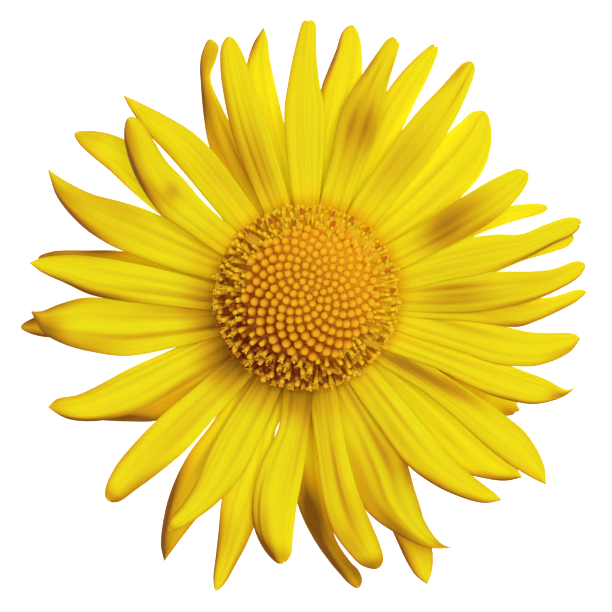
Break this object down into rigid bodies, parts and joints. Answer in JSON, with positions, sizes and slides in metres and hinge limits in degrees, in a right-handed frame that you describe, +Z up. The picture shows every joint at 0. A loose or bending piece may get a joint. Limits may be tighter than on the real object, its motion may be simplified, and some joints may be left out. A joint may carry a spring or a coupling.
{
  "type": "leopards bane flower head",
  "caption": "Cut flower head with long layered ray florets round a low dome of buds and open florets, on a short stem stub, lying face up.",
  "frame": {"origin": "on the surface that the head lies on, under the middle of its outline", "axes": "+Z up out of the bloom, +X to the right and +Y to the top of the bloom as it is seen from above"},
  "size_m": [0.0596, 0.06, 0.0142],
  "materials": {
    "stem": "fresh green stem, softly ribbed and hairy",
    "bract": "matte green with fine hairs",
    "ray": "silky petal, saturated yellow with fine lengthwise veins",
    "bud": "smooth golden orange, slightly waxy",
    "floret": "golden florets with brown tips"
  },
  "bodies": {
    "root": {"stem": "stem", "involucre": "bract", "ray_florets": "ray", "disc_buds": "bud", "open_florets": "floret"}
  },
  "joints": []
}
